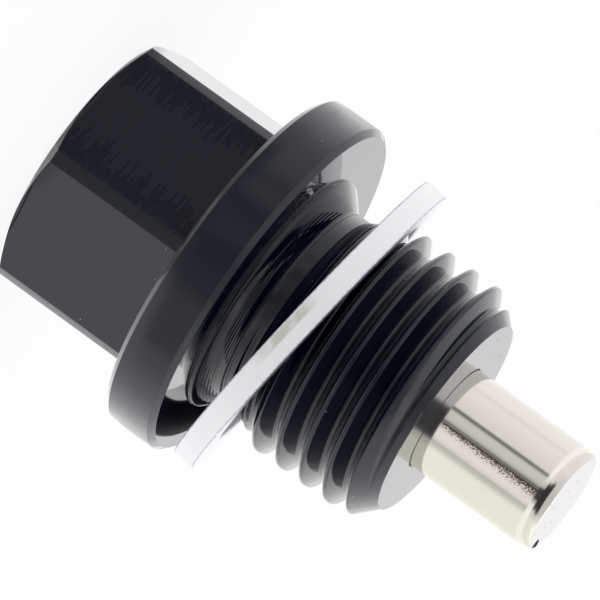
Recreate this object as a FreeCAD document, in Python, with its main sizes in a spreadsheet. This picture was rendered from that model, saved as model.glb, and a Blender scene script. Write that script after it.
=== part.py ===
import FreeCAD, Part
import math
import os
import re
import Sketcher

# Magnetic oil drain plug: a turned and milled plug with a hexagon head, a flange and an M14 x 1.5
# thread, a rod magnet set in the end of the shank, and a loose flat sealing washer.
# Millimetres and degrees. The origin is the middle of the head's end face, +Z runs along the plug's
# axis towards the magnet, and one flat of the hexagon faces -Y.

SIZES = [
    # Hexagon head, its corners turned round and its end face inset from the flats by a chamfer
    ("head_across_flats", 14.0),
    ("head_corner_trim", 0.2),
    ("head_end_inset", 0.1),
    ("head_chamfer_angle", 30.0),
    ("head_length", 9.05),
    # Flange between the head and the shank
    ("flange_diameter", 20.0),
    ("flange_thickness", 3.1),
    ("flange_edge", 0.3),
    # Shank: a short full-diameter shoulder, the thread relief, the thread and the end chamfer
    ("shank_length", 11.2),
    ("shoulder_length", 0.2),
    ("shoulder_slope", 48.0),
    ("shoulder_round", 0.3),
    ("neck_undercut", 0.23),
    ("neck_length", 0.95),
    ("neck_round", 0.2),
    ("run_in_slope", 30.0),
    ("end_chamfer", 1.3),
    # Right-hand single-start metric thread
    ("thread_diameter", 14.0),
    ("thread_pitch", 1.5),
    ("thread_angle", 60.0),
    ("thread_lead", 0.25),
    ("cutter_overlap", 0.1),
    # Rod magnet and the blind hole that holds it
    ("magnet_diameter", 6.0),
    ("magnet_length", 12.0),
    ("magnet_edge", 0.25),
    ("magnet_depth", 4.5),
    ("magnet_glue_gap", 0.03),
    ("hole_edge", 0.06),
    # Loose sealing washer, tipped over the relief with its low edge on the flange
    ("washer_bore_clearance", 0.8),
    ("washer_width", 2.1),
    ("washer_thickness", 1.3),
    ("washer_edge", 0.12),
    ("washer_tip_gap", 0.1),
    ("washer_rest_gap", 0.03),
    ("washer_side_shift", 0.2),
    ("washer_heading", -104.6),
]

doc = FreeCAD.newDocument("drain_plug")


def make_sheet():
    """The table of driving sizes, one named value a row."""
    sheet = doc.addObject("Spreadsheet::Sheet", "sizes")
    for row, (name, value) in enumerate(SIZES, start=1):
        sheet.set("A%d" % row, name)
        sheet.set("B%d" % row, str(value))
        sheet.setAlias("B%d" % row, name)
    doc.recompute()
    return sheet


def formula(text):
    """An expression on the table, from one written with the bare names of its sizes."""
    names = "|".join(name for name, value in SIZES)
    return re.sub(r"\b(%s)\b" % names, r"sizes.\1", text)


def worked_out(text):
    """The number that a formula gives now."""
    return float(sheet.evalExpression(formula(text)))


# Radii and heights that several pieces share
SHARP_CORNERS = "head_across_flats * 2 / sqrt(3)"
HEAD_RADIUS = "(head_across_flats / sqrt(3) - head_corner_trim)"
HEAD_END_RADIUS = "(head_across_flats / 2 - head_end_inset)"
FLANGE_RADIUS = "flange_diameter / 2"
THREAD_RADIUS = "thread_diameter / 2"
SHARP_HEIGHT = "(thread_pitch / 2 / tan(thread_angle / 2))"
GROOVE_APEX = "(%s - %s * 7 / 8)" % (THREAD_RADIUS, SHARP_HEIGHT)
ROOT_ROUND = "(%s / 6)" % SHARP_HEIGHT
THREAD_ROOT = "(%s + %s * (1 / sin(thread_angle / 2) - 1))" % (GROOVE_APEX, ROOT_ROUND)
NECK_RADIUS = "(%s - neck_undercut)" % THREAD_ROOT
RELIEF_DEPTH = "(%s - %s)" % (THREAD_RADIUS, NECK_RADIUS)
HEAD_CHAMFER = "(%s - %s) * tan(head_chamfer_angle)" % (HEAD_RADIUS, HEAD_END_RADIUS)
FLANGE_FACE = "(head_length + flange_thickness)"
SHOULDER_TOP = FLANGE_FACE + " + shoulder_length"
NECK_START = SHOULDER_TOP + " + %s / tan(shoulder_slope)" % RELIEF_DEPTH
NECK_END = NECK_START + " + neck_length"
THREAD_START = NECK_END + " + %s / tan(run_in_slope)" % RELIEF_DEPTH
SHANK_END = FLANGE_FACE + " + shank_length"
HOLE_RADIUS = "(magnet_diameter / 2 + magnet_glue_gap)"


def new_body(name):
    """An empty body whose label is the name of its file."""
    body = doc.addObject("PartDesign::Body", name)
    body.Label = name
    return body


def new_sketch(body, name, role):
    """A sketch on one of the body's own origin planes."""
    plane = [item for item in body.Origin.OriginFeatures if item.Role == role][0]
    sketch = body.newObject("Sketcher::SketchObject", name)
    sketch.AttachmentSupport = [(plane, "")]
    sketch.MapMode = "FlatFace"
    return sketch


def bind_point(sketch, geometry, end, x, y, name):
    """Hold one end of a line at a place given by two formulas."""
    for kind, axis, text in (("DistanceX", -2, x), ("DistanceY", -1, y)):
        if text == "0":
            sketch.addConstraint(Sketcher.Constraint("PointOnObject", geometry, end, axis))
            continue
        made = Sketcher.Constraint(kind, -1, 1, geometry, end, worked_out(text))
        index = sketch.addConstraint(made)
        label = name + kind[-1]
        sketch.renameConstraint(index, label)
        sketch.setExpression("Constraints." + label, formula(text))


def closed_outline(sketch, corners):
    """Straight edges round a list of corners, each a pair of formulas."""
    points = [FreeCAD.Vector(worked_out(x), worked_out(y), 0) for x, y in corners]
    count = len(points)
    for i in range(count):
        sketch.addGeometry(Part.LineSegment(points[i], points[(i + 1) % count]), False)
    for i in range(count):
        sketch.addConstraint(Sketcher.Constraint("Coincident", i, 2, (i + 1) % count, 1))
    for i, (x, y) in enumerate(corners):
        bind_point(sketch, i, 1, x, y, "corner%d" % i)


def bound_circle(sketch, diameter, name):
    """A circle round the sketch's origin, with its diameter bound to a formula."""
    radius = worked_out(diameter) / 2
    circle = Part.Circle(FreeCAD.Vector(0, 0, 0), FreeCAD.Vector(0, 0, 1), radius)
    index = sketch.addGeometry(circle, False)
    sketch.addConstraint(Sketcher.Constraint("Coincident", index, 3, -1, 1))
    made = sketch.addConstraint(Sketcher.Constraint("Diameter", index, 2 * radius))
    sketch.renameConstraint(made, name)
    sketch.setExpression("Constraints." + name, formula(diameter))
    return index


def circular_edges(feature, places):
    """Names of the feature's full circles that lie at the given radii and heights."""
    names = []
    for radius, height in places:
        wanted_radius = worked_out(radius)
        wanted_height = worked_out(height)
        for number, edge in enumerate(feature.Shape.Edges, start=1):
            curve = edge.Curve
            if not isinstance(curve, Part.Circle) or not edge.Closed:
                continue
            if abs(curve.Radius - wanted_radius) > 1e-4:
                continue
            if abs(curve.Center.z - wanted_height) < 1e-4:
                names.append("Edge%d" % number)
    if len(names) != len(places):
        raise RuntimeError("edges to be rounded are missing on " + feature.Name)
    return names


def round_edges(body, base, name, places, radius):
    """A fillet on the circles of the base feature at the given radii and heights."""
    doc.recompute()
    fillet = body.newObject("PartDesign::Fillet", name)
    fillet.Base = (base, circular_edges(base, places))
    fillet.setExpression("Radius", formula(radius))
    return fillet


def check_cut(before, after):
    """Stop if a feature that should take material away has taken none."""
    doc.recompute()
    if after.Shape.Volume > before.Shape.Volume - 1e-3:
        raise RuntimeError(after.Name + " cuts nothing")


def turn_blank(body):
    """The plug as it leaves the lathe: one revolved outline."""
    sketch = new_sketch(body, "turned_outline", "XZ_Plane")
    closed_outline(sketch, [
        ("0", "0"),
        (HEAD_END_RADIUS, "0"),
        (HEAD_RADIUS, HEAD_CHAMFER),
        (HEAD_RADIUS, "head_length"),
        (FLANGE_RADIUS + " - flange_edge", "head_length"),
        (FLANGE_RADIUS, "head_length + flange_edge"),
        (FLANGE_RADIUS, FLANGE_FACE + " - flange_edge"),
        (FLANGE_RADIUS + " - flange_edge", FLANGE_FACE),
        (THREAD_RADIUS, FLANGE_FACE),
        (THREAD_RADIUS, SHOULDER_TOP),
        (NECK_RADIUS, NECK_START),
        (NECK_RADIUS, NECK_END),
        (THREAD_RADIUS, THREAD_START),
        (THREAD_RADIUS, SHANK_END + " - end_chamfer"),
        (THREAD_RADIUS + " - end_chamfer", SHANK_END),
        ("0", SHANK_END),
    ])
    blank = body.newObject("PartDesign::Revolution", "turned_blank")
    blank.Profile = sketch
    blank.ReferenceAxis = (sketch, ["V_Axis"])
    blank.Angle = 360
    shoulder = round_edges(body, blank, "shoulder_rounding", [(THREAD_RADIUS, SHOULDER_TOP)],
                           "shoulder_round")
    return round_edges(body, shoulder, "neck_rounding",
                       [(NECK_RADIUS, NECK_START), (NECK_RADIUS, NECK_END)], "neck_round")


def mill_flats(body, blank):
    """Six flats milled along the head, up to the flange."""
    sketch = new_sketch(body, "hexagon", "XY_Plane")
    bound_circle(sketch, SHARP_CORNERS + " + head_across_flats", "outside")
    corner_circle = bound_circle(sketch, SHARP_CORNERS, "corners")
    sketch.setConstruction(corner_circle, True)
    reach = worked_out("head_across_flats / sqrt(3)")
    corners = []
    for i in range(6):
        angle = math.radians(60 * i)
        corners.append(FreeCAD.Vector(reach * math.cos(angle), reach * math.sin(angle), 0))
    sides = []
    for i in range(6):
        line = Part.LineSegment(corners[i], corners[(i + 1) % 6])
        sides.append(sketch.addGeometry(line, False))
    for i in range(6):
        following = sides[(i + 1) % 6]
        sketch.addConstraint(Sketcher.Constraint("Coincident", sides[i], 2, following, 1))
        sketch.addConstraint(Sketcher.Constraint("PointOnObject", sides[i], 1, corner_circle))
    for i in range(1, 6):
        sketch.addConstraint(Sketcher.Constraint("Equal", sides[0], sides[i]))
    sketch.addConstraint(Sketcher.Constraint("PointOnObject", sides[0], 1, -1))
    flats = body.newObject("PartDesign::Pocket", "wrench_flats")
    flats.Profile = sketch
    flats.Reversed = True
    flats.setExpression("Length", formula("head_length"))
    check_cut(blank, flats)
    return flats


def drill_hole(body, base):
    """Blind hole for the magnet, with its mouth edge broken."""
    sketch = new_sketch(body, "hole_outline", "XZ_Plane")
    closed_outline(sketch, [
        ("0", SHANK_END + " - magnet_depth"),
        (HOLE_RADIUS, SHANK_END + " - magnet_depth"),
        (HOLE_RADIUS, SHANK_END + " - hole_edge"),
        (HOLE_RADIUS + " + hole_edge + cutter_overlap", SHANK_END + " + cutter_overlap"),
        ("0", SHANK_END + " + cutter_overlap"),
    ])
    hole = body.newObject("PartDesign::Groove", "magnet_hole")
    hole.Profile = sketch
    hole.ReferenceAxis = (sketch, ["V_Axis"])
    hole.Angle = 360
    check_cut(base, hole)
    return hole


def cut_thread(body, base):
    """One helical groove with a rounded root, from the relief out through the end chamfer.

    The flanks would meet at the groove's apex radius. The root arc touches both of them.
    """
    mouth_radius = THREAD_RADIUS + " + cutter_overlap"
    mouth_half = "(%s - %s) * tan(thread_angle / 2)" % (mouth_radius, GROOVE_APEX)
    touch_radius = "%s + %s * (1 / sin(thread_angle / 2) - sin(thread_angle / 2))" % (
        GROOVE_APEX, ROOT_ROUND)
    touch_half = ROOT_ROUND + " * cos(thread_angle / 2)"
    middle = NECK_END + " - thread_lead"
    corners = [
        (mouth_radius, "%s - %s" % (middle, mouth_half)),
        (touch_radius, "%s - %s" % (middle, touch_half)),
        (touch_radius, "%s + %s" % (middle, touch_half)),
        (mouth_radius, "%s + %s" % (middle, mouth_half)),
    ]
    sketch = new_sketch(body, "groove_outline", "XZ_Plane")
    lower_mouth, lower_touch, upper_touch, upper_mouth = [
        FreeCAD.Vector(worked_out(x), worked_out(y), 0) for x, y in corners]
    bottom = FreeCAD.Vector(worked_out(THREAD_ROOT), worked_out(middle), 0)
    sketch.addGeometry(Part.LineSegment(lower_mouth, lower_touch), False)
    sketch.addGeometry(Part.Arc(lower_touch, bottom, upper_touch), False)
    sketch.addGeometry(Part.LineSegment(upper_touch, upper_mouth), False)
    sketch.addGeometry(Part.LineSegment(upper_mouth, lower_mouth), False)
    arc_first, arc_last = 1, 2
    if sketch.getPoint(1, arc_first).distanceToPoint(lower_touch) > 1e-6:
        arc_first, arc_last = 2, 1
    sketch.addConstraint(Sketcher.Constraint("Tangent", 0, 2, 1, arc_first))
    sketch.addConstraint(Sketcher.Constraint("Coincident", 1, arc_last, 2, 1))
    sketch.addConstraint(Sketcher.Constraint("Coincident", 2, 2, 3, 1))
    sketch.addConstraint(Sketcher.Constraint("Coincident", 3, 2, 0, 1))
    bind_point(sketch, 0, 1, corners[0][0], corners[0][1], "lower_mouth")
    bind_point(sketch, 0, 2, corners[1][0], corners[1][1], "lower_touch")
    bind_point(sketch, 2, 1, corners[2][0], corners[2][1], "upper_touch")
    bind_point(sketch, 2, 2, corners[3][0], corners[3][1], "upper_mouth")
    doc.recompute()

    thread = body.newObject("PartDesign::SubtractiveHelix", "thread")
    thread.Profile = sketch
    thread.ReferenceAxis = (sketch, ["V_Axis"])
    thread.Mode = "pitch-height-angle"
    thread.LeftHanded = False
    thread.setExpression("Pitch", formula("thread_pitch"))
    thread.setExpression("Height", formula("%s - (%s) + thread_pitch" % (SHANK_END, middle)))
    check_cut(base, thread)
    return thread


def make_plug_body():
    """Head, flange, relief, thread and magnet hole, all one piece."""
    body = new_body("plug_body")
    blank = turn_blank(body)
    flats = mill_flats(body, blank)
    hole = drill_hole(body, flats)
    cut_thread(body, hole)
    return body


def make_magnet():
    """Rod magnet, seated on the bottom of its hole, with a rounded outer edge."""
    body = new_body("magnet")
    sketch = new_sketch(body, "rod_circle", "XY_Plane")
    bound_circle(sketch, "magnet_diameter", "rod")
    rod = body.newObject("PartDesign::Pad", "rod_length")
    rod.Profile = sketch
    rod.setExpression("Length", formula("magnet_length"))
    round_edges(body, rod, "outer_edge", [("magnet_diameter / 2", "magnet_length")], "magnet_edge")
    body.setExpression("Placement.Base.z", formula("(%s - magnet_depth) * 1 mm" % SHANK_END))
    return body


def make_washer():
    """Flat ring, tipped until its bore lies against the thread, low edge on the flange."""
    body = new_body("sealing_washer")
    bore = "(thread_diameter + washer_bore_clearance)"
    outer = "(%s + 2 * washer_width)" % bore
    sketch = new_sketch(body, "ring", "XY_Plane")
    bound_circle(sketch, outer, "outer")
    bound_circle(sketch, bore, "bore")
    ring = body.newObject("PartDesign::Pad", "stamped_ring")
    ring.Profile = sketch
    ring.SideType = "Symmetric"
    ring.setExpression("Length", formula("washer_thickness"))
    edges = []
    for radius in (outer + " / 2", bore + " / 2"):
        edges.append((radius, "washer_thickness / 2"))
        edges.append((radius, "0 - washer_thickness / 2"))
    round_edges(body, ring, "stamped_edges", edges, "washer_edge")

    # A ring on a round shank tips until the corners of its bore meet the thread on both sides
    fit = "thread_diameter + 2 * washer_tip_gap"
    tip = "(acos((%s) / hypot(%s; washer_thickness)) - atan(washer_thickness / %s))" % (fit, bore, bore)
    height = "%s + %s / 2 * sin(%s) + washer_thickness / 2 * cos(%s)" % (FLANGE_FACE, outer, tip, tip)
    place = "vector(%s; %s; %s)" % (
        "0 - washer_side_shift * sin(washer_heading)",
        "washer_side_shift * cos(washer_heading)",
        "%s + washer_rest_gap" % height)
    axis = "vector(sin(washer_heading); 0 - cos(washer_heading); 0)"
    body.setExpression("Placement", formula("placement(%s; rotation(%s; %s))" % (place, axis, tip)))
    return body


def check_and_write(bodies):
    """Write one file a piece, after every object and every shape is found sound."""
    doc.recompute()
    for item in doc.Objects:
        if "Invalid" in item.State or "Error" in item.State:
            raise RuntimeError("%s failed: %s" % (item.Name, item.State))
    for body in bodies:
        shape = body.Shape
        if shape.isNull() or not shape.isValid() or len(shape.Solids) != 1:
            raise RuntimeError(body.Label + " is not one sound solid")
    os.makedirs("parts", exist_ok=True)
    for body in bodies:
        body.Shape.exportStep("parts/%s.step" % body.Label)
        print("%s %.1f mm3" % (body.Label, body.Shape.Volume))


sheet = make_sheet()
check_and_write([make_plug_body(), make_magnet(), make_washer()])
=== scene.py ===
"""Looks of the magnetic oil drain plug: a gloss black anodised plug, a nickel plated rod magnet and a
loose aluminium washer, seen from the photograph's side on a pale floor under soft light.

The frame stands on its head: the origin is the middle of the head's end face and +Z runs along the
axis to the magnet. Shapes are worked out in millimetres and stored in metres.
"""

import math

import bmesh
import bpy
import numpy as np
from mathutils import Matrix, Vector, noise


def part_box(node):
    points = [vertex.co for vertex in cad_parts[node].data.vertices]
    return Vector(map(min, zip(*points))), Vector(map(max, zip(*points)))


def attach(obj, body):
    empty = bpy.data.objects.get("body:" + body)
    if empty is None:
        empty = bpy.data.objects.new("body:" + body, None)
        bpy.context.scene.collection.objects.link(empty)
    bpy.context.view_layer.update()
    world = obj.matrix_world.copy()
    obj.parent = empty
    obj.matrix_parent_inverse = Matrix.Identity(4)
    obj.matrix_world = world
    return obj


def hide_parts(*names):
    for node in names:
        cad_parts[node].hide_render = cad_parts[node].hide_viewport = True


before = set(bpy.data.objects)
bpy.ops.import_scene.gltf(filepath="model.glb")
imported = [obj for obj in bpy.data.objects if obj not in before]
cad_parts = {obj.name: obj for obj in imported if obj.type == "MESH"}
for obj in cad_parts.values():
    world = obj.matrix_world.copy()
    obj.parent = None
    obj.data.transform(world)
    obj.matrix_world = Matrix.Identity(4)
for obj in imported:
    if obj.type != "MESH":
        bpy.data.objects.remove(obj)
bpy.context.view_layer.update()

MM = 0.001
FULL_TURN = 2 * math.pi

# Sizes of the CAD pieces, read from the frame where its boxes give them
body_low, body_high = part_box("plug_body")
magnet_low, magnet_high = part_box("magnet")
FLANGE_RADIUS = body_high.x / MM
SHANK_END = body_high.z / MM
MAGNET_RADIUS = magnet_high.x / MM
MAGNET_START = magnet_low.z / MM
MAGNET_END = magnet_high.z / MM

# Head
FLATS = 6
FLAT_ANGLE = 360 / FLATS
ACROSS_FLATS = 14.0
CORNER_TRIM = 0.2
END_INSET = 0.1
HEAD_CHAMFER_SLOPE = math.tan(math.radians(30))
HEAD_LENGTH = 9.05
HEAD_END_ROUND = 0.05
HEAD_FOOT_ROUND = 0.1

# Flange and shank
FLANGE_THICKNESS = 3.1
FLANGE_FACE = HEAD_LENGTH + FLANGE_THICKNESS
FLANGE_EDGE = 0.3
CREASE_ROUND = 0.04
SHOULDER_LENGTH = 0.2
SHOULDER_FOOT_ROUND = 0.03
SHOULDER_SLOPE = math.tan(math.radians(48))
SHOULDER_ROUND = 0.3
NECK_UNDERCUT = 0.23
NECK_LENGTH = 0.95
NECK_ROUND = 0.2
RUN_IN_ANGLE = math.radians(30)
END_CHAMFER = 1.3

# Tool lines on the flats, how strong they are on each, and rings left by the lathe in the relief
MILL_STEP = 0.142
MILLED_FLATS = (0.75, 0.4, 1.0, 0.3, 1.0, 0.0)
TURNING_STEP = 0.11
TURNING_SLOPE = math.tan(math.radians(4))

# Thread. Its half angle lies between a flank and a plane square to the axis
THREAD_RADIUS = 7.0
PITCH = 1.5
THREAD_LEAD = 0.25
HALF_ANGLE = math.radians(30)
SHARP_HEIGHT = PITCH / 2 / math.tan(HALF_ANGLE)
GROOVE_APEX = THREAD_RADIUS - SHARP_HEIGHT * 7 / 8
ROOT_ROUND = SHARP_HEIGHT / 6
ROOT_HALF = ROOT_ROUND * math.cos(HALF_ANGLE)
THREAD_ROOT = GROOVE_APEX + ROOT_ROUND
CREST_BLEND = 0.05

# Heights and radii that follow from them
HEAD_RADIUS = ACROSS_FLATS / math.sqrt(3) - CORNER_TRIM
HEAD_END_RADIUS = ACROSS_FLATS / 2 - END_INSET
NECK_RADIUS = THREAD_ROOT - NECK_UNDERCUT
SHOULDER_TOP = FLANGE_FACE + SHOULDER_LENGTH
NECK_START = SHOULDER_TOP + (THREAD_RADIUS - NECK_RADIUS) / SHOULDER_SLOPE
NECK_END = NECK_START + NECK_LENGTH
NECK_MIDDLE = (NECK_START + NECK_END) / 2
CHAMFER_START = SHANK_END - END_CHAMFER
END_RADIUS = THREAD_RADIUS - END_CHAMFER

# Magnet hole and magnet
HOLE_GAP = 0.03
HOLE_EDGE = 0.06
HOLE_EDGE_ROUND = 0.02
HOLE_FOOT_ROUND = 0.01
MAGNET_EDGE_DEPTH = 0.22
MAGNET_EDGE_LENGTH = 0.95
MAGNET_BASE_EDGE = 0.1

# Washer, placed as its bore leans on the thread
WASHER_BORE = 14.8
WASHER_WIDTH = 2.1
WASHER_THICKNESS = 1.3
WASHER_EDGE = 0.12
WASHER_TIP_GAP = 0.1
WASHER_REST_GAP = 0.03
WASHER_SHIFT = 0.2
WASHER_HEADING = math.radians(-104.6)
WASHER_UNEVEN = 0.012
WASHER_UNEVEN_REACH = 0.2
RIM_UNEVEN_FACTOR = 1.6
DRIFT_SCALE = 0.9
NICK_SCALE = 4
NICK_SHIFT = 7

# Meshes: columns round the pieces, and rows that only keep the shading flat or the poles round
FLAT_COLUMNS = 33
CLEAR_OF_EDGE = 3
BESIDE_EDGE = (-1.6, -0.7, -0.2, 0.0, 0.2, 0.8, 1.6)
MAGNET_COLUMNS = 288
MAGNET_EDGE_ROWS = 25
MAGNET_EDGE_ROW_GAP = 0.05
MAGNET_FACE_ROW_GAP = 0.03
WASHER_COLUMNS = 480
END_FACE_ROWS = (0.0, 0.03, 0.3)
HEAD_POLE_RADIUS = 0.6
POLE_RADIUS = 0.4
SEAM = 0.01
WELD_DISTANCE = 1e-4
THIN_EDGE = 1e-5

# Camera: where the photograph was taken from, and how it is turned and framed
CAMERA_AZIMUTH = math.radians(24.2)
CAMERA_ELEVATION = math.radians(12.15)
AXIS_SLOPE_IN_PHOTO = math.radians(35.73)
AIM_HEIGHT = 15.561
AIM_RIGHT = -1.2472
AIM_UP = 1.5809
CAMERA_DISTANCE = 413.0
FIELD_WIDTH = 30.706
SENSOR_WIDTH = 36.0


def rounded_profile(corners, support=0.03):
    """Points along a polyline whose corners are arcs, with a point close to each end of an arc.

    Each corner is (r, z, rounding radius, arc steps). The close points keep the shading of the
    straight stretches flat.
    """
    points = []
    last = len(corners) - 1
    for i, (r, z, radius, steps) in enumerate(corners):
        here = np.array([r, z])
        if i in (0, last) or radius == 0:
            points.append(here)
            continue
        back = np.array(corners[i - 1][:2]) - here
        ahead = np.array(corners[i + 1][:2]) - here
        back = back / np.linalg.norm(back)
        ahead = ahead / np.linalg.norm(ahead)
        half = math.acos(max(-1.0, min(1.0, float(back @ ahead)))) / 2
        reach = radius / math.tan(half)
        middle = (back + ahead) / np.linalg.norm(back + ahead)
        centre = here + middle * radius / math.sin(half)
        first = here + back * reach
        points.append(first + back * support)
        start = first - centre
        end = here + ahead * reach - centre
        sweep = math.pi - 2 * half
        for k in range(steps + 1):
            part = k / steps
            near = math.sin((1 - part) * sweep) / math.sin(sweep)
            far = math.sin(part * sweep) / math.sin(sweep)
            points.append(centre + start * near + end * far)
        points.append(here + ahead * (reach + support))
    return np.array(points)


def head_columns():
    """Angles of the body's columns, and how far each lies from its flat's middle.

    Columns crowd beside the edges between the flats and the turned corners.
    """
    edge = math.degrees(math.acos(ACROSS_FLATS / 2 / HEAD_RADIUS))
    plain = np.linspace(-edge + CLEAR_OF_EDGE, edge - CLEAR_OF_EDGE, FLAT_COLUMNS)
    beside = edge + np.array(BESIDE_EDGE)
    local = np.concatenate([[-FLAT_ANGLE / 2], -beside[::-1], plain, beside])
    turns = np.concatenate([FLAT_ANGLE * (i + 0.5) + local for i in range(FLATS)])
    return np.radians(turns), np.radians(np.tile(local, FLATS))


def head_profile(local):
    """Outline of head, flange and shoulder in the column that lies local radians off a flat's middle."""
    side = min(HEAD_RADIUS, ACROSS_FLATS / 2 / math.cos(local))
    crease = (side - HEAD_END_RADIUS) * HEAD_CHAMFER_SLOPE
    inner = FLANGE_RADIUS - FLANGE_EDGE
    return rounded_profile([
        (HEAD_POLE_RADIUS, 0.0, 0, 0),
        (HEAD_END_RADIUS, 0.0, HEAD_END_ROUND, 3),
        (side, crease, CREASE_ROUND, 3),
        (side, HEAD_LENGTH, HEAD_FOOT_ROUND, 4),
        (inner, HEAD_LENGTH, CREASE_ROUND, 3),
        (FLANGE_RADIUS, HEAD_LENGTH + FLANGE_EDGE, CREASE_ROUND, 3),
        (FLANGE_RADIUS, FLANGE_FACE - FLANGE_EDGE, CREASE_ROUND, 3),
        (inner, FLANGE_FACE, CREASE_ROUND, 3),
        (THREAD_RADIUS, FLANGE_FACE, SHOULDER_FOOT_ROUND, 3),
        (THREAD_RADIUS, SHOULDER_TOP, SHOULDER_ROUND, 8),
        (NECK_RADIUS, NECK_START, NECK_ROUND, 6),
        (NECK_RADIUS, NECK_MIDDLE, 0, 0),
    ])


def shank_envelope(z):
    """Radius of the turned shank at heights z above the middle of the neck, before it is threaded."""
    blend = NECK_END - NECK_ROUND * math.tan(RUN_IN_ANGLE / 2)
    rise = np.clip(z - blend, 0, NECK_ROUND * math.sin(RUN_IN_ANGLE))
    rounding = NECK_RADIUS + NECK_ROUND - np.sqrt(NECK_ROUND ** 2 - rise ** 2)
    cone = NECK_RADIUS + (z - NECK_END) * math.tan(RUN_IN_ANGLE)
    chamfer = THREAD_RADIUS - (z - CHAMFER_START)
    return np.minimum(np.minimum(np.maximum(rounding, cone), THREAD_RADIUS), chamfer)


def groove_radius(offset):
    """Radius of the threaded surface at a distance along the axis from the middle of the groove."""
    off = np.abs((offset + PITCH / 2) % PITCH - PITCH / 2)
    flank = GROOVE_APEX + off / math.tan(HALF_ANGLE)
    arc_off = np.minimum(off, ROOT_HALF)
    root = GROOVE_APEX + 2 * ROOT_ROUND - np.sqrt(ROOT_ROUND ** 2 - arc_off ** 2)
    groove = np.where(off < ROOT_HALF, root, flank)
    near = np.clip(1 - np.abs(groove - THREAD_RADIUS) / CREST_BLEND, 0, 1)
    return np.minimum(groove, THREAD_RADIUS) - near ** 2 * CREST_BLEND / 4


def groove_middle(angle):
    """Height of the groove's first turn at an angle round the axis."""
    return NECK_END - THREAD_LEAD + PITCH * angle / FULL_TURN


def thread_rows():
    """Rows of the threaded surface, as distances from the first groove, close together at each bend."""
    half = [0.05, 0.1, 0.145, 0.18, 0.21, 0.26, 0.34, 0.43, 0.52, 0.59, 0.625, 0.645, 0.665, 0.69]
    one = np.array([0.0] + half + [PITCH / 2] + [PITCH - x for x in half[::-1]])
    turns = math.ceil((SHANK_END - NECK_MIDDLE) / PITCH) + 2
    return np.concatenate([one + PITCH * i for i in range(-1, turns)]), len(one)


def threaded_heights(angle, rows):
    """Heights of one column's rows, with the row nearest to each run-out edge moved onto it."""
    z = np.clip(groove_middle(angle) + rows, NECK_MIDDLE, SHANK_END)
    gap = shank_envelope(z) - groove_radius(z - groove_middle(angle))
    moved = z.copy()
    for j in np.nonzero(gap[:-1] * gap[1:] < 0)[0]:
        part = gap[j] / (gap[j] - gap[j + 1])
        moved[j if part < 0.5 else j + 1] = z[j] + part * (z[j + 1] - z[j])
    moved[z >= SHANK_END] = SHANK_END
    moved[z <= NECK_MIDDLE] = NECK_MIDDLE
    return moved


def end_profile():
    """From the shank's end edge over the end face, into the magnet's hole and across its bottom."""
    hole = MAGNET_RADIUS + HOLE_GAP
    face = [(END_RADIUS - inset, SHANK_END, 0, 0) for inset in END_FACE_ROWS]
    return rounded_profile(face + [
        (hole + HOLE_EDGE, SHANK_END, HOLE_EDGE_ROUND, 2),
        (hole, SHANK_END - HOLE_EDGE, HOLE_EDGE_ROUND, 2),
        (hole, MAGNET_START, HOLE_FOOT_ROUND, 1),
        (POLE_RADIUS, MAGNET_START, 0, 0),
    ], support=0.01)


class Builder:
    """Collects points in millimetres and faces, and makes one mesh of them."""

    def __init__(self):
        self.points = []
        self.faces = []

    def add(self, points):
        """Keep points, and give their numbers."""
        first = len(self.points)
        self.points.extend([tuple(p) for p in points])
        return list(range(first, first + len(points)))

    def bridge(self, lower, upper):
        """Quads between two closed rings of as many points."""
        count = len(lower)
        for i in range(count):
            k = (i + 1) % count
            self.faces.append((lower[i], lower[k], upper[k], upper[i]))

    def stack(self, rings):
        """Quads from each closed ring to the next."""
        for lower, upper in zip(rings[:-1], rings[1:]):
            self.bridge(lower, upper)

    def cap(self, ring, centre, facing_up):
        """Triangles from a ring to one point in its middle."""
        middle = self.add([centre])[0]
        count = len(ring)
        for i in range(count):
            k = (i + 1) % count
            pair = (ring[i], ring[k]) if facing_up else (ring[k], ring[i])
            self.faces.append((pair[0], pair[1], middle))

    def make(self, name, attributes=None):
        """A smooth object of the faces. attributes are numbers kept with the points, by name."""
        mesh = bpy.data.meshes.new(name)
        scaled = [(x * MM, y * MM, z * MM) for x, y, z in self.points]
        mesh.from_pydata(scaled, [], self.faces)
        for label, values in (attributes or {}).items():
            layer = mesh.attributes.new(label, "FLOAT", "POINT")
            layer.data.foreach_set("value", np.array(values, np.float32))
        shape = bmesh.new()
        shape.from_mesh(mesh)
        bmesh.ops.remove_doubles(shape, verts=shape.verts, dist=WELD_DISTANCE * MM)
        bmesh.ops.dissolve_degenerate(shape, edges=shape.edges, dist=THIN_EDGE * MM)
        shape.to_mesh(mesh)
        shape.free()
        mesh.polygons.foreach_set("use_smooth", [True] * len(mesh.polygons))
        made = bpy.data.objects.new(name, mesh)
        bpy.context.scene.collection.objects.link(made)
        return made


def ring_points(radii, heights, angles):
    """Points of one ring. Radii and heights are one number each, or one for each angle."""
    radii = np.broadcast_to(radii, angles.shape)
    heights = np.broadcast_to(heights, angles.shape)
    return np.stack([radii * np.cos(angles), radii * np.sin(angles), heights], axis=1)


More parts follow.
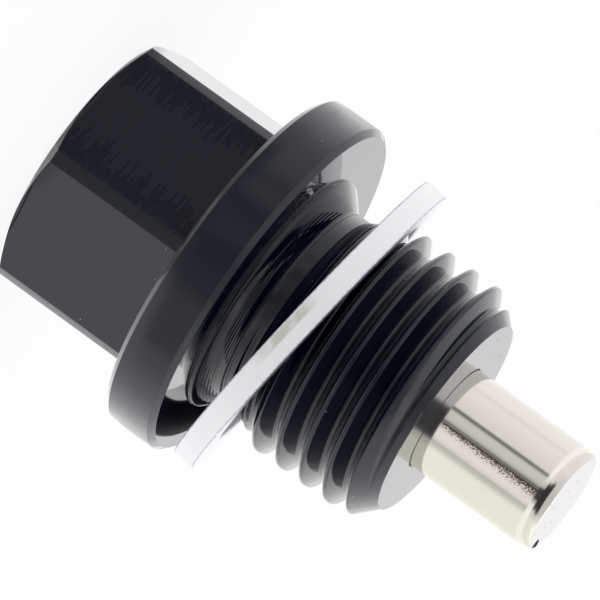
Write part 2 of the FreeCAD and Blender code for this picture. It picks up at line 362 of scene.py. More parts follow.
def make_plug_body():
    """Head, flange, relief, thread, end face and magnet hole as one closed surface."""
    build = Builder()
    angles, local = head_columns()
    count = len(angles)

    outlines = np.array([head_profile(x) for x in local])
    rings = [build.add(ring_points(outlines[:, j, 0], outlines[:, j, 1], angles))
             for j in range(outlines.shape[1])]
    build.cap(rings[0], (0.0, 0.0, 0.0), False)
    build.stack(rings)

    rows, per_turn = thread_rows()
    heights = np.array([threaded_heights(x, rows) for x in angles])
    start = np.array([groove_middle(x) for x in angles])[:, None]
    radii = np.minimum(shank_envelope(heights), groove_radius(heights - start))
    grid = [build.add(ring_points(radii[:, j], heights[:, j], angles)) for j in range(len(rows))]
    for j in range(len(rows) - 1):
        for i in range(count - 1):
            build.faces.append((grid[j][i], grid[j][i + 1], grid[j + 1][i + 1], grid[j + 1][i]))
        if j + per_turn + 1 < len(rows):
            build.faces.append((grid[j][-1], grid[j + per_turn][0],
                                grid[j + per_turn + 1][0], grid[j + 1][-1]))

    rings = [build.add(ring_points(r, z, angles)) for r, z in end_profile()]
    build.stack(rings)
    build.cap(rings[-1], (0.0, 0.0, MAGNET_START), True)

    across = np.zeros(len(build.points))
    milled = np.zeros(len(build.points))
    head_rows = int(np.searchsorted(outlines[0, :, 1], HEAD_LENGTH))
    for j in range(head_rows):
        across[j * count:(j + 1) * count] = ACROSS_FLATS / 2 * np.tan(local)
        milled[j * count:(j + 1) * count] = np.repeat(MILLED_FLATS, count // FLATS)
    return build.make("plug_body_black", {"across": across, "milled": milled})


def turned_piece(name, profile, columns, bottom=None, top=None):
    """A closed piece of revolution. bottom and top are heights of its pole points, where it has them."""
    build = Builder()
    angles = np.arange(columns) * FULL_TURN / columns
    rings = [build.add(ring_points(r, z, angles)) for r, z in profile]
    build.stack(rings)
    if bottom is None:
        build.bridge(rings[-1], rings[0])
    else:
        build.cap(rings[0], (0.0, 0.0, bottom), False)
        build.cap(rings[-1], (0.0, 0.0, top), True)
    return build.make(name)


def make_magnet():
    """Rod magnet with a small edge at the hidden end and a drawn-out rounding at the free one."""
    straight = MAGNET_END - MAGNET_EDGE_LENGTH
    rod = rounded_profile([
        (POLE_RADIUS, MAGNET_START, 0, 0),
        (MAGNET_RADIUS, MAGNET_START, MAGNET_BASE_EDGE, 4),
        (MAGNET_RADIUS, straight - MAGNET_EDGE_ROW_GAP, 0, 0),
    ])
    turns = np.radians(np.linspace(0, 90, MAGNET_EDGE_ROWS))
    edge = np.stack([MAGNET_RADIUS - MAGNET_EDGE_DEPTH * (1 - np.cos(turns)),
                     straight + MAGNET_EDGE_LENGTH * np.sin(turns)], axis=1)
    face_start = MAGNET_RADIUS - MAGNET_EDGE_DEPTH - MAGNET_FACE_ROW_GAP
    face = [(face_start, MAGNET_END), (POLE_RADIUS, MAGNET_END)]
    profile = np.concatenate([rod, edge, face])
    return turned_piece("magnet_nickel", profile, MAGNET_COLUMNS, MAGNET_START, MAGNET_END)


def washer_placement():
    """Where the washer lies: tipped until its bore meets the thread on both sides."""
    outer = WASHER_BORE + 2 * WASHER_WIDTH
    fit = 2 * THREAD_RADIUS + 2 * WASHER_TIP_GAP
    tip = math.acos(fit / math.hypot(WASHER_BORE, WASHER_THICKNESS))
    tip -= math.atan(WASHER_THICKNESS / WASHER_BORE)
    height = FLANGE_FACE + outer / 2 * math.sin(tip) + WASHER_THICKNESS / 2 * math.cos(tip)
    place = Vector((-WASHER_SHIFT * math.sin(WASHER_HEADING), WASHER_SHIFT * math.cos(WASHER_HEADING),
                    height + WASHER_REST_GAP)) * MM
    axis = Vector((math.sin(WASHER_HEADING), -math.cos(WASHER_HEADING), 0))
    return Matrix.Translation(place) @ Matrix.Rotation(tip, 4, axis)


def make_washer():
    """Stamped ring, its edges a little uneven as the punch leaves them."""
    half = WASHER_THICKNESS / 2
    inner = WASHER_BORE / 2
    outer = inner + WASHER_WIDTH
    middle = inner + WASHER_WIDTH / 2
    profile = rounded_profile([
        (middle, -half, 0, 0),
        (outer, -half, WASHER_EDGE, 5),
        (outer, half, WASHER_EDGE, 5),
        (inner, half, WASHER_EDGE, 5),
        (inner, -half, WASHER_EDGE, 5),
        (middle - SEAM, -half, 0, 0),
    ])
    washer = turned_piece("sealing_washer_aluminium", profile, WASHER_COLUMNS)
    for vertex in washer.data.vertices:
        x, y, z = (c / MM for c in vertex.co)
        radius = math.hypot(x, y)
        at_edge = max(0.0, 1 - abs(abs(z) - half) / WASHER_UNEVEN_REACH)
        drift = noise.noise(Vector((x * DRIFT_SCALE, y * DRIFT_SCALE, z * DRIFT_SCALE)))
        nick = noise.noise(Vector((x * NICK_SCALE, y * NICK_SCALE, z * NICK_SCALE + NICK_SHIFT)))
        change = WASHER_UNEVEN * at_edge * (drift * 0.5 + nick * 0.5)
        if radius > middle:
            change = -abs(change) * RIM_UNEVEN_FACTOR
        vertex.co.x += change * MM * x / radius
        vertex.co.y += change * MM * y / radius
    washer.matrix_world = washer_placement()
    return washer


class Nodes:
    """Short ways to add and join the nodes of one material or of the world."""

    def __init__(self, owner):
        owner.use_nodes = True
        self.tree = owner.node_tree
        self.tree.nodes.clear()

    def add(self, kind, **settings):
        """A new node with its settings."""
        made = self.tree.nodes.new(kind)
        for name, value in settings.items():
            setattr(made, name, value)
        return made

    def join(self, value, socket):
        """Feed a socket from another socket, or set it to a plain value."""
        if isinstance(value, bpy.types.NodeSocket):
            self.tree.links.new(value, socket)
        elif value is not None:
            socket.default_value = value

    def join_all(self, values, sockets):
        """Join values to as many sockets, in order."""
        for value, socket in zip(values, sockets):
            self.join(value, socket)

    def feed(self, made, **values):
        """Join values to a node's inputs by name, with _ for a space. Plain ones are set on the input."""
        for name, value in values.items():
            self.join(value, made.inputs[name.replace("_", " ")])
        return made.outputs[0]

    def maths(self, operation, *values, clamp=False):
        """One step of arithmetic."""
        made = self.add("ShaderNodeMath", operation=operation, use_clamp=clamp)
        self.join_all(values, made.inputs)
        return made.outputs[0]

    def times(self, first, *more):
        """The product of several values."""
        made = first
        for value in more:
            made = self.maths("MULTIPLY", made, value)
        return made

    def one_minus(self, value):
        """What a share leaves over."""
        return self.maths("SUBTRACT", 1.0, value)

    def span(self, value, low, high, start=0.0, end=1.0):
        """value carried from low..high to start..end with soft ends, and held outside. low may be the
        larger one.
        """
        made = self.add("ShaderNodeMapRange", interpolation_type="SMOOTHSTEP")
        return self.feed(made, Value=value, From_Min=low, From_Max=high, To_Min=start, To_Max=end)

    def blend(self, factor, first, second):
        """first where the factor is 0, second where it is 1."""
        made = self.add("ShaderNodeMix", data_type="FLOAT")
        self.join_all((factor, first, second), (made.inputs[0], made.inputs[2], made.inputs[3]))
        return made.outputs[0]

    def mix_colour(self, factor, first, second):
        """The same for two colours."""
        made = self.add("ShaderNodeMix", data_type="RGBA")
        self.join_all((factor, first, second), (made.inputs["Factor"], made.inputs[6], made.inputs[7]))
        return made.outputs[2]

    def mix_shaders(self, factor, first, second):
        """The same for two shaders."""
        made = self.add("ShaderNodeMixShader")
        self.join_all((factor, first, second), made.inputs)
        return made.outputs[0]

    def combine(self, x, y, z):
        """A vector of three values."""
        made = self.add("ShaderNodeCombineXYZ")
        self.join_all((x, y, z), made.inputs)
        return made.outputs[0]

    def separate(self, vector):
        """The three values of a vector."""
        made = self.add("ShaderNodeSeparateXYZ")
        self.join(vector, made.inputs[0])
        return made.outputs[0], made.outputs[1], made.outputs[2]

    def millimetres(self):
        """The object's own coordinates in millimetres: x, y, z and all three."""
        scaled = self.add("ShaderNodeVectorMath", operation="SCALE")
        self.join(self.add("ShaderNodeTexCoord").outputs["Object"], scaled.inputs[0])
        self.join(1 / MM, scaled.inputs["Scale"])
        place = scaled.outputs[0]
        return *self.separate(place), place

    def heading(self, x, y):
        """Angle of a direction round the axis in degrees, 0 at -Y and growing towards +X."""
        return self.maths("DEGREES", self.maths("ARCTAN2", x, self.times(y, -1.0)))

    def distance(self, x, y):
        """Distance from the point that x and y are measured from."""
        return self.maths("SQRT", self.maths("ADD", self.times(x, x), self.times(y, y)))

    def stored(self, name):
        """A number kept with the points of the mesh."""
        return self.add("ShaderNodeAttribute", attribute_name=name).outputs["Fac"]

    def noise(self, vector, scale, detail=2.0, roughness=0.5):
        """Soft noise about 0.5, its grains about 1 / scale across."""
        made = self.add("ShaderNodeTexNoise")
        return self.feed(made, Vector=vector, Scale=scale, Detail=detail, Roughness=roughness)

    def white(self, vector):
        """A number from 0 to 1 that jumps with every change of the vector."""
        made = self.add("ShaderNodeTexWhiteNoise")
        self.join(vector, made.inputs["Vector"])
        return made.outputs["Value"]

    def ridges(self, value, step):
        """Straight-sided ridges from 0 to 1, one every step."""
        part = self.maths("FRACT", self.times(value, 1 / step))
        away = self.maths("ABSOLUTE", self.maths("SUBTRACT", self.times(part, 2.0), 1.0))
        return self.one_minus(away)

    def cells(self, vector, scale, rarity):
        """Distance from the middle of a cell, and 1 in the cells that are chosen. The nearer rarity is
        to 1, the fewer are.
        """
        made = self.add("ShaderNodeTexVoronoi")
        self.feed(made, Vector=vector, Scale=scale)
        drawn = self.add("ShaderNodeSeparateColor")
        self.join(made.outputs["Color"], drawn.inputs[0])
        return made.outputs["Distance"], self.maths("GREATER_THAN", drawn.outputs[0], rarity)

    def specks(self, vector, scale, size, rarity):
        """1 inside small dots, 0 elsewhere."""
        away, chosen = self.cells(vector, scale, rarity)
        return self.times(self.maths("LESS_THAN", away, size), chosen)

    def pits(self, vector, scale, size, rarity):
        """Small cones, 1 in their middle and 0 from size outwards."""
        away, chosen = self.cells(vector, scale, rarity)
        return self.times(self.maths("SUBTRACT", 1.0, self.times(away, 1 / size), clamp=True), chosen)

    def bump(self, height, depth_mm, normal=None):
        """A bump whose height of 1 stands for depth_mm."""
        made = self.add("ShaderNodeBump")
        return self.feed(made, Distance=depth_mm * MM, Height=height, Normal=normal)

    def shader(self, kind, **values):
        """A shader of a kind, with its inputs by name."""
        return self.feed(self.add(kind), **values)

    def surface(self, shader, output="ShaderNodeOutputMaterial"):
        """Use a shader for the surface, or for the world where output says so."""
        self.join(shader, self.add(output).inputs["Surface"])


# Black anodising. The tool lines lie between two distances from the middle of a flat, which differ
# from line to line
BLACK = (0.0016, 0.0027, 0.011, 1)
BLACK_GLOSS = 0.52
BLACK_GLOSS_TINT = (0.86, 0.93, 1.0, 1)
DUST = (0.3, 0.3, 0.31, 1)
LINE_INNER_END = (1.3, 3.1)
LINE_OUTER_END = (3.3, 3.6)
CHATTER_DEPTH = 0.008
PIT_DEPTH = 0.12


def tool_lines(nodes, z):
    """1 along the tool lines of the flats. They run in from both edges of a flat, each with a length of
    its own, and are broken in places.
    """
    across = nodes.stored("across")
    from_middle = nodes.maths("ABSOLUTE", across)
    side = nodes.times(nodes.maths("SIGN", across), 5.0)
    line = nodes.maths("FLOOR", nodes.times(z, 1 / MILL_STEP))
    jump = nodes.times(nodes.white(nodes.combine(line, side, 0.0)), 0.5)
    wave = nodes.noise(nodes.combine(nodes.times(z, 0.7), side, 0.0), 1.0)
    inner_end = nodes.span(nodes.maths("ADD", jump, wave), 0.35, 1.15, *LINE_INNER_END)
    outer_end = nodes.span(nodes.white(nodes.combine(line, side, 9.0)), 0.0, 1.0, *LINE_OUTER_END)
    gaps = nodes.noise(nodes.combine(nodes.times(across, 1.2), nodes.times(line, 0.6), side), 1.0)
    cut = nodes.times(nodes.maths("GREATER_THAN", from_middle, inner_end),
                      nodes.maths("LESS_THAN", from_middle, outer_end),
                      nodes.span(gaps, 0.28, 0.42), nodes.stored("milled"))
    return nodes.times(nodes.span(nodes.ridges(z, MILL_STEP), 0.25, 0.6), cut)


# Painted shade: the gloss is lowered on one side of the shoulder in place of the shade mirrored there
def painted_shoulder_shade(nodes, x, z):
    """1 where the shoulder has less gloss, on the side that is the lower one in the photograph. The
    lathe's hatch on it keeps most of the gloss.
    """
    lower_side = nodes.span(x, 3.8, 5.0)
    on_shoulder = nodes.times(nodes.span(z, SHOULDER_TOP - 0.1, SHOULDER_TOP),
                              nodes.span(z, NECK_START - 0.25, NECK_START - 0.35))
    hatch = nodes.times(nodes.span(z, SHOULDER_TOP + 0.2, SHOULDER_TOP + 0.35),
                        nodes.span(nodes.ridges(z, TURNING_STEP), 0.3, 0.7))
    return nodes.times(lower_side, on_shoulder, nodes.one_minus(nodes.times(hatch, 0.8)))


def turned_metal(nodes, x, y, z):
    """Normals of the turned shank: rings in the relief, chatter on the thread, pits on the end face."""
    on_neck = nodes.times(nodes.span(z, NECK_START - 0.75, NECK_START - 0.6),
                          nodes.span(z, NECK_START + 0.35, NECK_START + 0.15))
    rings = nodes.times(nodes.ridges(z, TURNING_STEP), on_neck)
    turned = nodes.bump(rings, TURNING_SLOPE * TURNING_STEP / 2)

    on_thread = nodes.times(nodes.span(z, NECK_END, NECK_END + 0.4),
                            nodes.span(z, CHAMFER_START, CHAMFER_START - 0.2))
    stretched = nodes.combine(nodes.times(x, 0.9), nodes.times(y, 0.9), nodes.times(z, 3.0))
    worn = nodes.bump(nodes.times(nodes.noise(stretched, 1.0), on_thread), CHATTER_DEPTH, turned)

    upper_side = nodes.span(x, -1.5, -3.0)
    on_face = nodes.span(z, SHANK_END - 0.05, SHANK_END - 0.01)
    pits = nodes.times(nodes.pits(nodes.combine(x, y, 0.0), 1.3, 0.15, 0.4), upper_side, on_face)
    return nodes.bump(pits, -PIT_DEPTH, worn)


def black_anodised():
    """Gloss black over turned and milled metal. Tool lines have less gloss, and so has one side of the
    shoulder, as painted shade.
    """
    material = bpy.data.materials.new("black_anodised")
    nodes = Nodes(material)
    x, y, z, place = nodes.millimetres()
    # Less gloss along the tool lines, and painted shade as less gloss on one side of the shoulder
    gloss = nodes.times(nodes.one_minus(tool_lines(nodes, z)),
                        nodes.one_minus(painted_shoulder_shade(nodes, x, z)), BLACK_GLOSS)
    normal = turned_metal(nodes, x, y, z)
    colour = nodes.mix_colour(nodes.specks(place, 0.9, 0.04, 0.75), BLACK, DUST)
    nodes.surface(nodes.shader(
        "ShaderNodeBsdfPrincipled", Base_Color=colour, Roughness=0.06, IOR=1.35,
        Specular_IOR_Level=gloss, Specular_Tint=BLACK_GLOSS_TINT, Normal=normal,
        Coat_Weight=1.0, Coat_IOR=1.35, Coat_Roughness=0.03, Coat_Normal=normal))
    return material


# Nickel plate. The band of painted grains of a dark reflection starts at a heading in degrees and widens
# towards the free end
NICKEL = (0.84, 0.79, 0.73, 1)
NICKEL_LOWER_SIDE = (0.82, 0.81, 0.68, 1)
NICKEL_CLOUD = (0.5, 0.48, 0.45, 1)
NICKEL_END_FACE = (0.65, 0.655, 0.66, 1)
CHIP_COLOUR = (0.05, 0.05, 0.07, 1)
CHIP_PLACE = (2.17, 1.51)
CHIP_SIZE = (0.34, 0.44)
# Painted reflection: dark brown grains stand in for the ragged edge of a dark reflection on the rod
REFLECTION_GRAIN_COLOUR = (0.1, 0.065, 0.055, 1)
REFLECTION_BAND_START = 28.6
REFLECTION_BAND_WIDTHS = (7.0, 13.0)
GRINDING_DEPTH = 0.0003


def chipped(nodes, x, y, z):
    """1 inside the chip on the edge of the magnet's free end."""
    across = nodes.times(nodes.maths("SUBTRACT", x, CHIP_PLACE[0]), 1 / CHIP_SIZE[0])
    along = nodes.times(nodes.maths("SUBTRACT", y, CHIP_PLACE[1]), 1 / CHIP_SIZE[1])
    inside = nodes.maths("LESS_THAN", nodes.distance(across, along), 1.0)
    return nodes.times(inside, nodes.span(z, MAGNET_END - 0.6, MAGNET_END - 0.45))


def painted_reflection_grains(nodes, heading, z, place):
    """How much of the plate is covered by grains of a painted dark reflection, dense at the start of the
    band and thinning out across it.
    """
    width = nodes.span(z, SHANK_END, MAGNET_END, *REFLECTION_BAND_WIDTHS)
    across = nodes.maths("DIVIDE", nodes.maths("SUBTRACT", heading, REFLECTION_BAND_START), width)
    density = nodes.span(across, -0.3, 1.5, 0.21, -0.15)
    grains = nodes.maths("ADD", nodes.noise(place, 13.0, 2.0, 0.7), density)
    return nodes.times(nodes.span(grains, 0.55, 0.6, 0.0, 0.95), nodes.span(across, -0.1, 0.05),
                       nodes.span(z, SHANK_END + 0.3, SHANK_END + 0.8),
                       nodes.span(z, MAGNET_END - 0.7, MAGNET_END - 1.0))


def nickel():
    """Bright nickel with a warm tint, finely ground, with a band of painted grains of a dark reflection
    along it and a dull chip.
    """
    material = bpy.data.materials.new("nickel_plate")
    nodes = Nodes(material)
    x, y, z, place = nodes.millimetres()
    heading = nodes.heading(x, y)

    lower_side = nodes.times(nodes.span(heading, 46.0, 58.0), nodes.span(heading, 178.0, 150.0))
    plain = nodes.mix_colour(lower_side, NICKEL, NICKEL_LOWER_SIDE)
    clouds = nodes.noise(nodes.combine(nodes.times(heading, 0.03), 0.0, nodes.times(z, 0.15)), 1.4)
    clouded = nodes.mix_colour(nodes.span(clouds, 0.3, 0.7, 0.94, 1.0), NICKEL_CLOUD, plain)
    end_face = nodes.span(z, MAGNET_END - 0.02, MAGNET_END - 0.005)
    faced = nodes.mix_colour(end_face, clouded, NICKEL_END_FACE)
    marks = nodes.times(nodes.specks(nodes.combine(x, y, 0.0), 1.9, 0.15, 0.55), end_face)
    chip = chipped(nodes, x, y, z)
    marked = nodes.mix_colour(nodes.maths("MAXIMUM", marks, chip), faced, CHIP_COLOUR)
    # Painted reflection: dark brown grains along the band take the place of a dark reflection's ragged
    # edge
    colour = nodes.mix_colour(painted_reflection_grains(nodes, heading, z, place), marked, REFLECTION_GRAIN_COLOUR)

    ground = nodes.bump(nodes.noise(nodes.combine(0.0, 0.0, nodes.times(z, 20.0)), 1.0), GRINDING_DEPTH)
    plated = nodes.one_minus(chip)
    nodes.surface(nodes.shader(
        "ShaderNodeBsdfPrincipled", Base_Color=colour, Metallic=plated, Roughness=0.08,
        Specular_IOR_Level=nodes.times(plated, 0.5), Normal=ground))
    return material


# Washer. Its rim is pale and rough, its faces are plain metal, and a darker greenish-grey patch lies on
# the rim's flange-side half
RIM_COLOURS = ((0.92, 0.915, 0.95, 1), (0.97, 0.965, 0.99, 1))
# Painted shade: dark violet along both edges of the rim
RIM_EDGE_SHADE_COLOUR = (0.3, 0.27, 0.5, 1)
FLANGE_SIDE_PATCH_COLOUR = (0.62, 0.63, 0.56, 1)
WASHER_FACE_COLOUR = (0.86, 0.86, 0.88, 1)
FACE_ROUGHNESS = 0.35
RIM_ROUGHNESS = 0.55
SHEAR_DEPTH = 0.004


def soft_aluminium():
    """Pale stamped aluminium: a sheared rim with painted shade along its edges, light scratches and a
    darker greenish-grey patch.
    """
    material = bpy.data.materials.new("soft_aluminium")
    nodes = Nodes(material)
    x, y, z, place = nodes.millimetres()
    heading = nodes.heading(x, y)
    outer = WASHER_BORE / 2 + WASHER_WIDTH
    half = WASHER_THICKNESS / 2
    on_rim = nodes.span(nodes.distance(x, y), outer - 0.12, outer - 0.05)

    shear = nodes.noise(nodes.combine(nodes.times(heading, 0.9), 0.0, nodes.times(z, 0.5)), 1.2, 3.0)
    scratches = nodes.noise(nodes.combine(x, nodes.times(y, 6.0), nodes.times(z, 9.0)), 2.0)
    uneven = nodes.bump(nodes.maths("ADD", shear, scratches), SHEAR_DEPTH)

    grey = nodes.mix_colour(nodes.noise(place, 0.8, 3.0), *RIM_COLOURS)
    flange_half = nodes.times(nodes.span(z, -0.04, -0.14), nodes.span(z, -0.6, -0.5))
    flange_side_patch = nodes.times(nodes.span(heading, 14.0, 24.0), nodes.span(heading, 46.0, 34.0), flange_half,
                         nodes.span(nodes.noise(place, 1.6, 3.0), 0.2, 0.55, 0.2, 1.0))
    patched_rim = nodes.mix_colour(flange_side_patch, grey, FLANGE_SIDE_PATCH_COLOUR)
    # Painted shade along both edges of the rim, made uneven by noise
    at_edge = nodes.span(nodes.maths("ABSOLUTE", z), half - 0.1, half - 0.02)
    edge_shade = nodes.times(at_edge, nodes.span(nodes.noise(place, 5.0, 3.0), 0.35, 0.65, 0.3, 0.9))
    rim = nodes.mix_colour(edge_shade, patched_rim, RIM_EDGE_SHADE_COLOUR)
    nodes.surface(nodes.shader(
        "ShaderNodeBsdfPrincipled", Base_Color=nodes.mix_colour(on_rim, WASHER_FACE_COLOUR, rim),
        Metallic=nodes.span(on_rim, 0.0, 1.0, 1.0, 0.0),
        Roughness=nodes.span(on_rim, 0.0, 1.0, FACE_ROUGHNESS, RIM_ROUGHNESS), Normal=uneven))
    return material


# How bright the tent is round the plug, as stops of (angle from the camera's side, level). It is dim
# behind the camera, and has one set of tones for each belt of the floor and of the walls
FOOT_TONE = [
    (-180, 1.0), (-90, 1.2), (-54, 1.1), (-46, 0.42), (-14, 0.42), (-6, 0.8), (10, 0.72), (40, 0.65),
    (54, 1.1), (90, 1.0), (180, 1.0)]
HEAD_TONE = [
    (-180, 0.96), (-150, 1.12), (-115, 1.32), (-38, 1.32), (-26, 1.05), (-16, 0.55), (-4, 0.5),
    (8, 0.38), (60, 0.39), (80, 0.75), (105, 1.0), (140, 0.98), (180, 0.95)]
FLANGE_TONE = [
    (-180, 0.55), (-170, 0.62), (-160, 0.74), (-148, 0.95), (-138, 1.18), (-115, 1.27), (-90, 1.2),
    (-70, 1.04), (-58, 0.72), (-35, 0.74), (-18, 0.43), (2, 0.31), (14, 0.46), (30, 0.36), (42, 0.64),
    (50, 0.55), (62, 0.8), (84, 0.84), (100, 1.06), (125, 1.19), (140, 1.12), (150, 0.87), (160, 0.69),
    (170, 0.47), (180, 0.5)]
MAGNET_TONE = [
    (-180, 1.0), (-74, 0.98), (-66, 0.93), (-58, 0.67), (-50, 0.56), (-43, 0.82), (-34, 0.9),
    (-17, 0.84), (-13, 0.72), (-9, 0.22), (-4, 0.2), (0, 0.52), (5, 0.65), (14, 0.68), (19, 0.64),
    (24, 0.2), (27, 0.2), (32, 0.8), (80, 0.92), (90, 0.86), (100, 0.98), (180, 1.05)]
EDGE_TONE = [
    (-180, 1.1), (-60, 1.1), (-40, 1.0), (-30, 0.5), (-24, 0.06), (-4, 0.06), (4, 0.6), (22, 0.95),
    (32, 1.1), (80, 1.1), (180, 1.1)]
HORIZON_TONE = [
    (-180, 1.2), (-70, 1.15), (-52, 0.95), (-40, 0.1), (-34, 0.05), (4, 0.05), (10, 0.1), (22, 1.0),
    (68, 1.15), (130, 1.15), (180, 1.2)]
WALL_TONE = [
    (-180, 1.4), (-165, 1.4), (-150, 1.25), (-75, 1.2), (-60, 0.95), (-44, 0.1), (-36, 0.05),
    (6, 0.05), (14, 0.1), (30, 1.0), (60, 1.1), (90, 1.1), (150, 1.2), (165, 1.4), (180, 1.4)]
TOP_TONE = [
    (-180, 1.45), (-90, 1.5), (-66, 1.1), (-50, 0.8), (-10, 0.75), (25, 0.9), (60, 1.1), (180, 1.25)]
TOP_LEVEL = 2.0

# Where one belt of the floor gives way to the next, in millimetres from the axis. The foot's is a
# narrow ring, and the head's ends sooner on the far side, by up to the shift
FOOT_RING_START = (7.68, 7.74)
FOOT_RING_END = (8.06, 7.98)
HEAD_BELT_END = (50.0, 54.0)
FAR_SIDE = (120.0, 160.0)
FAR_SIDE_SHIFT = 6.5
FLANGE_BELT_END = (108.0, 114.0)
MAGNET_BELT_END = (175.0, 215.0)

# Where one belt of the walls gives way to the next, as the sine of its height over the horizon
HORIZON_BELT_END = (0.06, 0.09)
WALL_BELT_END = (0.19, 0.25)

# Floor. It lies a little under the part, so that the two don't share a plane
FLOOR_RADIUS = 0.9
FLOOR_SEGMENTS = 96
FLOOR_DROP = 0.01
FLOOR_COLOUR = (0.85, 0.85, 0.85, 1)
SHADOW_SHARE = 0.1

LAMP_SIDE = 0.3


def from_camera_side(nodes, x, y):
    """Angle of a direction round the axis, in degrees from the camera's own side, -180 to 180."""
    shifted = nodes.maths("SUBTRACT", math.degrees(CAMERA_AZIMUTH) + 180, nodes.heading(x, y))
    return nodes.maths("SUBTRACT", nodes.maths("FLOORED_MODULO", shifted, 360.0), 180.0)


def tone_round(nodes, angle, stops):
    """Brightness of the tent at an angle from the camera's side, eased from stop to stop."""
    ramp = nodes.add("ShaderNodeValToRGB")
    ramp.color_ramp.interpolation = "EASE"
    nodes.join(nodes.maths("DIVIDE", nodes.maths("ADD", angle, 180.0), 360.0), ramp.inputs[0])
    elements = ramp.color_ramp.elements
    while len(elements) > 1:
        elements.remove(elements[-1])
    for i, (turn, level) in enumerate(stops):
        place = (turn + 180) / 360
        element = elements[0] if i == 0 else elements.new(place)
        element.position = place
        element.color = (level / TOP_LEVEL, level / TOP_LEVEL, level / TOP_LEVEL, 1)
    return nodes.times(ramp.outputs[0], TOP_LEVEL)


def tent_level(nodes, angle, first, *belts):
    """Brightness of the tent: the first set of stops, and each further one where its share is 1."""
    level = tone_round(nodes, angle, first)
    for share, stops in belts:
        level = nodes.blend(share, level, tone_round(nodes, angle, stops))
    return level


def world_light():
    """Soft light from all round. The camera sees plain white."""
    world = bpy.data.worlds.new("light_tent")
    bpy.context.scene.world = world
    nodes = Nodes(world)
    x, y, height = nodes.separate(nodes.add("ShaderNodeTexCoord").outputs["Generated"])
    level = tent_level(nodes, from_camera_side(nodes, x, y), HORIZON_TONE,
                       (nodes.span(height, *HORIZON_BELT_END), WALL_TONE),
                       (nodes.span(height, *WALL_BELT_END), TOP_TONE))
    seen = nodes.add("ShaderNodeLightPath").outputs["Is Camera Ray"]
    light = nodes.shader("ShaderNodeBackground", Strength=nodes.blend(seen, level, 1.0))
    nodes.surface(light, "ShaderNodeOutputWorld")


def floor_material():
    """Pale floor: white with a faint shadow to the camera, and the tent's tones in reflections."""
    material = bpy.data.materials.new("pale_floor")
    nodes = Nodes(material)
    x, y, _ = nodes.separate(nodes.add("ShaderNodeNewGeometry").outputs["Position"])
    angle = from_camera_side(nodes, x, y)
    reach = nodes.times(nodes.distance(x, y), 1 / MM)
    on_foot = nodes.times(nodes.span(reach, *FOOT_RING_START), nodes.span(reach, *FOOT_RING_END))
    far_side = nodes.span(nodes.maths("ABSOLUTE", angle), *FAR_SIDE, 0.0, FAR_SIDE_SHIFT)
    past_head = nodes.span(nodes.maths("ADD", reach, far_side), *HEAD_BELT_END)
    level = tent_level(nodes, angle, HEAD_TONE, (on_foot, FOOT_TONE), (past_head, FLANGE_TONE),
                       (nodes.span(reach, *FLANGE_BELT_END), MAGNET_TONE),
                       (nodes.span(reach, *MAGNET_BELT_END), EDGE_TONE))

    plain = nodes.shader("ShaderNodeBsdfDiffuse", Color=FLOOR_COLOUR)
    mirrored = nodes.shader("ShaderNodeEmission", Strength=level)
    white = nodes.shader("ShaderNodeEmission", Strength=1.0)
    path = nodes.add("ShaderNodeLightPath")
    lit = nodes.mix_shaders(path.outputs["Is Glossy Ray"], plain, mirrored)
    seen = nodes.mix_shaders(SHADOW_SHARE, white, plain)
    nodes.surface(nodes.mix_shaders(path.outputs["Is Camera Ray"], lit, seen))
    return material


def make_floor():
    """A round floor, wide enough to fill every view."""
    mesh = bpy.data.meshes.new("floor")
    shape = bmesh.new()
    bmesh.ops.create_circle(shape, cap_ends=True, segments=FLOOR_SEGMENTS, radius=FLOOR_RADIUS)
    shape.to_mesh(mesh)
    shape.free()
    floor = bpy.data.objects.new("floor", mesh)
    floor.location.z = -FLOOR_DROP * MM
    floor.data.materials.append(floor_material())
    bpy.context.scene.collection.objects.link(floor)


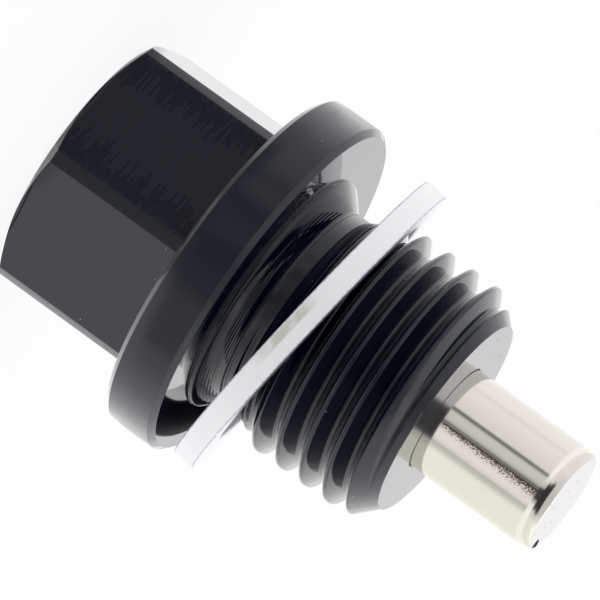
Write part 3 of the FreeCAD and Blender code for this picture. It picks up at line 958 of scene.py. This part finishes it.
def make_lamp(name, turn, away, height, level, mirrored=False):
    """A large soft lamp, turn degrees round from the camera's side, away and height metres off. Gloss
    shows it only where mirrored says so.
    """
    lamp = bpy.data.lights.new(name, "AREA")
    lamp.shape = "SQUARE"
    lamp.size = LAMP_SIDE
    lamp.energy = level * math.pi * LAMP_SIDE * LAMP_SIDE
    holder = bpy.data.objects.new(name, lamp)
    azimuth = CAMERA_AZIMUTH - math.radians(turn)
    holder.location = (away * math.sin(azimuth), -away * math.cos(azimuth), height)
    aim = Vector((0, 0, AIM_HEIGHT * MM)) - holder.location
    holder.rotation_euler = aim.to_track_quat("-Z", "Y").to_euler()
    holder.visible_glossy = mirrored
    bpy.context.scene.collection.objects.link(holder)


def make_camera():
    """A long lens from the photograph's side, turned so that the axis runs down to the right."""
    sin_a, cos_a = math.sin(CAMERA_AZIMUTH), math.cos(CAMERA_AZIMUTH)
    side = Vector((sin_a, -cos_a, 0))
    across = Vector((-cos_a, -sin_a, 0))
    up = Vector((0, 0, 1))
    toward = side * math.cos(CAMERA_ELEVATION) + up * math.sin(CAMERA_ELEVATION)
    along = up * math.cos(CAMERA_ELEVATION) - side * math.sin(CAMERA_ELEVATION)
    right = along * math.cos(AXIS_SLOPE_IN_PHOTO) + across * math.sin(AXIS_SLOPE_IN_PHOTO)
    top = across * math.cos(AXIS_SLOPE_IN_PHOTO) - along * math.sin(AXIS_SLOPE_IN_PHOTO)
    aim = (up * AIM_HEIGHT + right * AIM_RIGHT + top * AIM_UP) * MM

    camera = bpy.data.cameras.new("camera")
    camera.sensor_width = SENSOR_WIDTH
    camera.lens = SENSOR_WIDTH * CAMERA_DISTANCE / FIELD_WIDTH
    holder = bpy.data.objects.new("camera", camera)
    turned = Matrix((right, top, toward)).transposed()
    holder.matrix_world = Matrix.Translation(aim + toward * CAMERA_DISTANCE * MM) @ turned.to_4x4()
    bpy.context.scene.collection.objects.link(holder)
    bpy.context.scene.camera = holder


def dress(piece, material, node):
    """Give a piece its material and let it stand for its CAD node."""
    piece.data.materials.append(material)
    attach(piece, "root")
    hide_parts(node)


dress(make_plug_body(), black_anodised(), "plug_body")
dress(make_magnet(), nickel(), "magnet")
dress(make_washer(), soft_aluminium(), "sealing_washer")

world_light()
make_floor()
make_lamp("back_softbox", turn=180, away=0.4, height=0.5, level=1.2, mirrored=True)
make_lamp("upper_softbox", turn=95, away=0.5, height=0.15, level=1.2)
make_lamp("lower_softbox", turn=-100, away=0.5, height=0.15, level=1.3)
make_camera()
bpy.context.scene.view_settings.view_transform = "Standard"
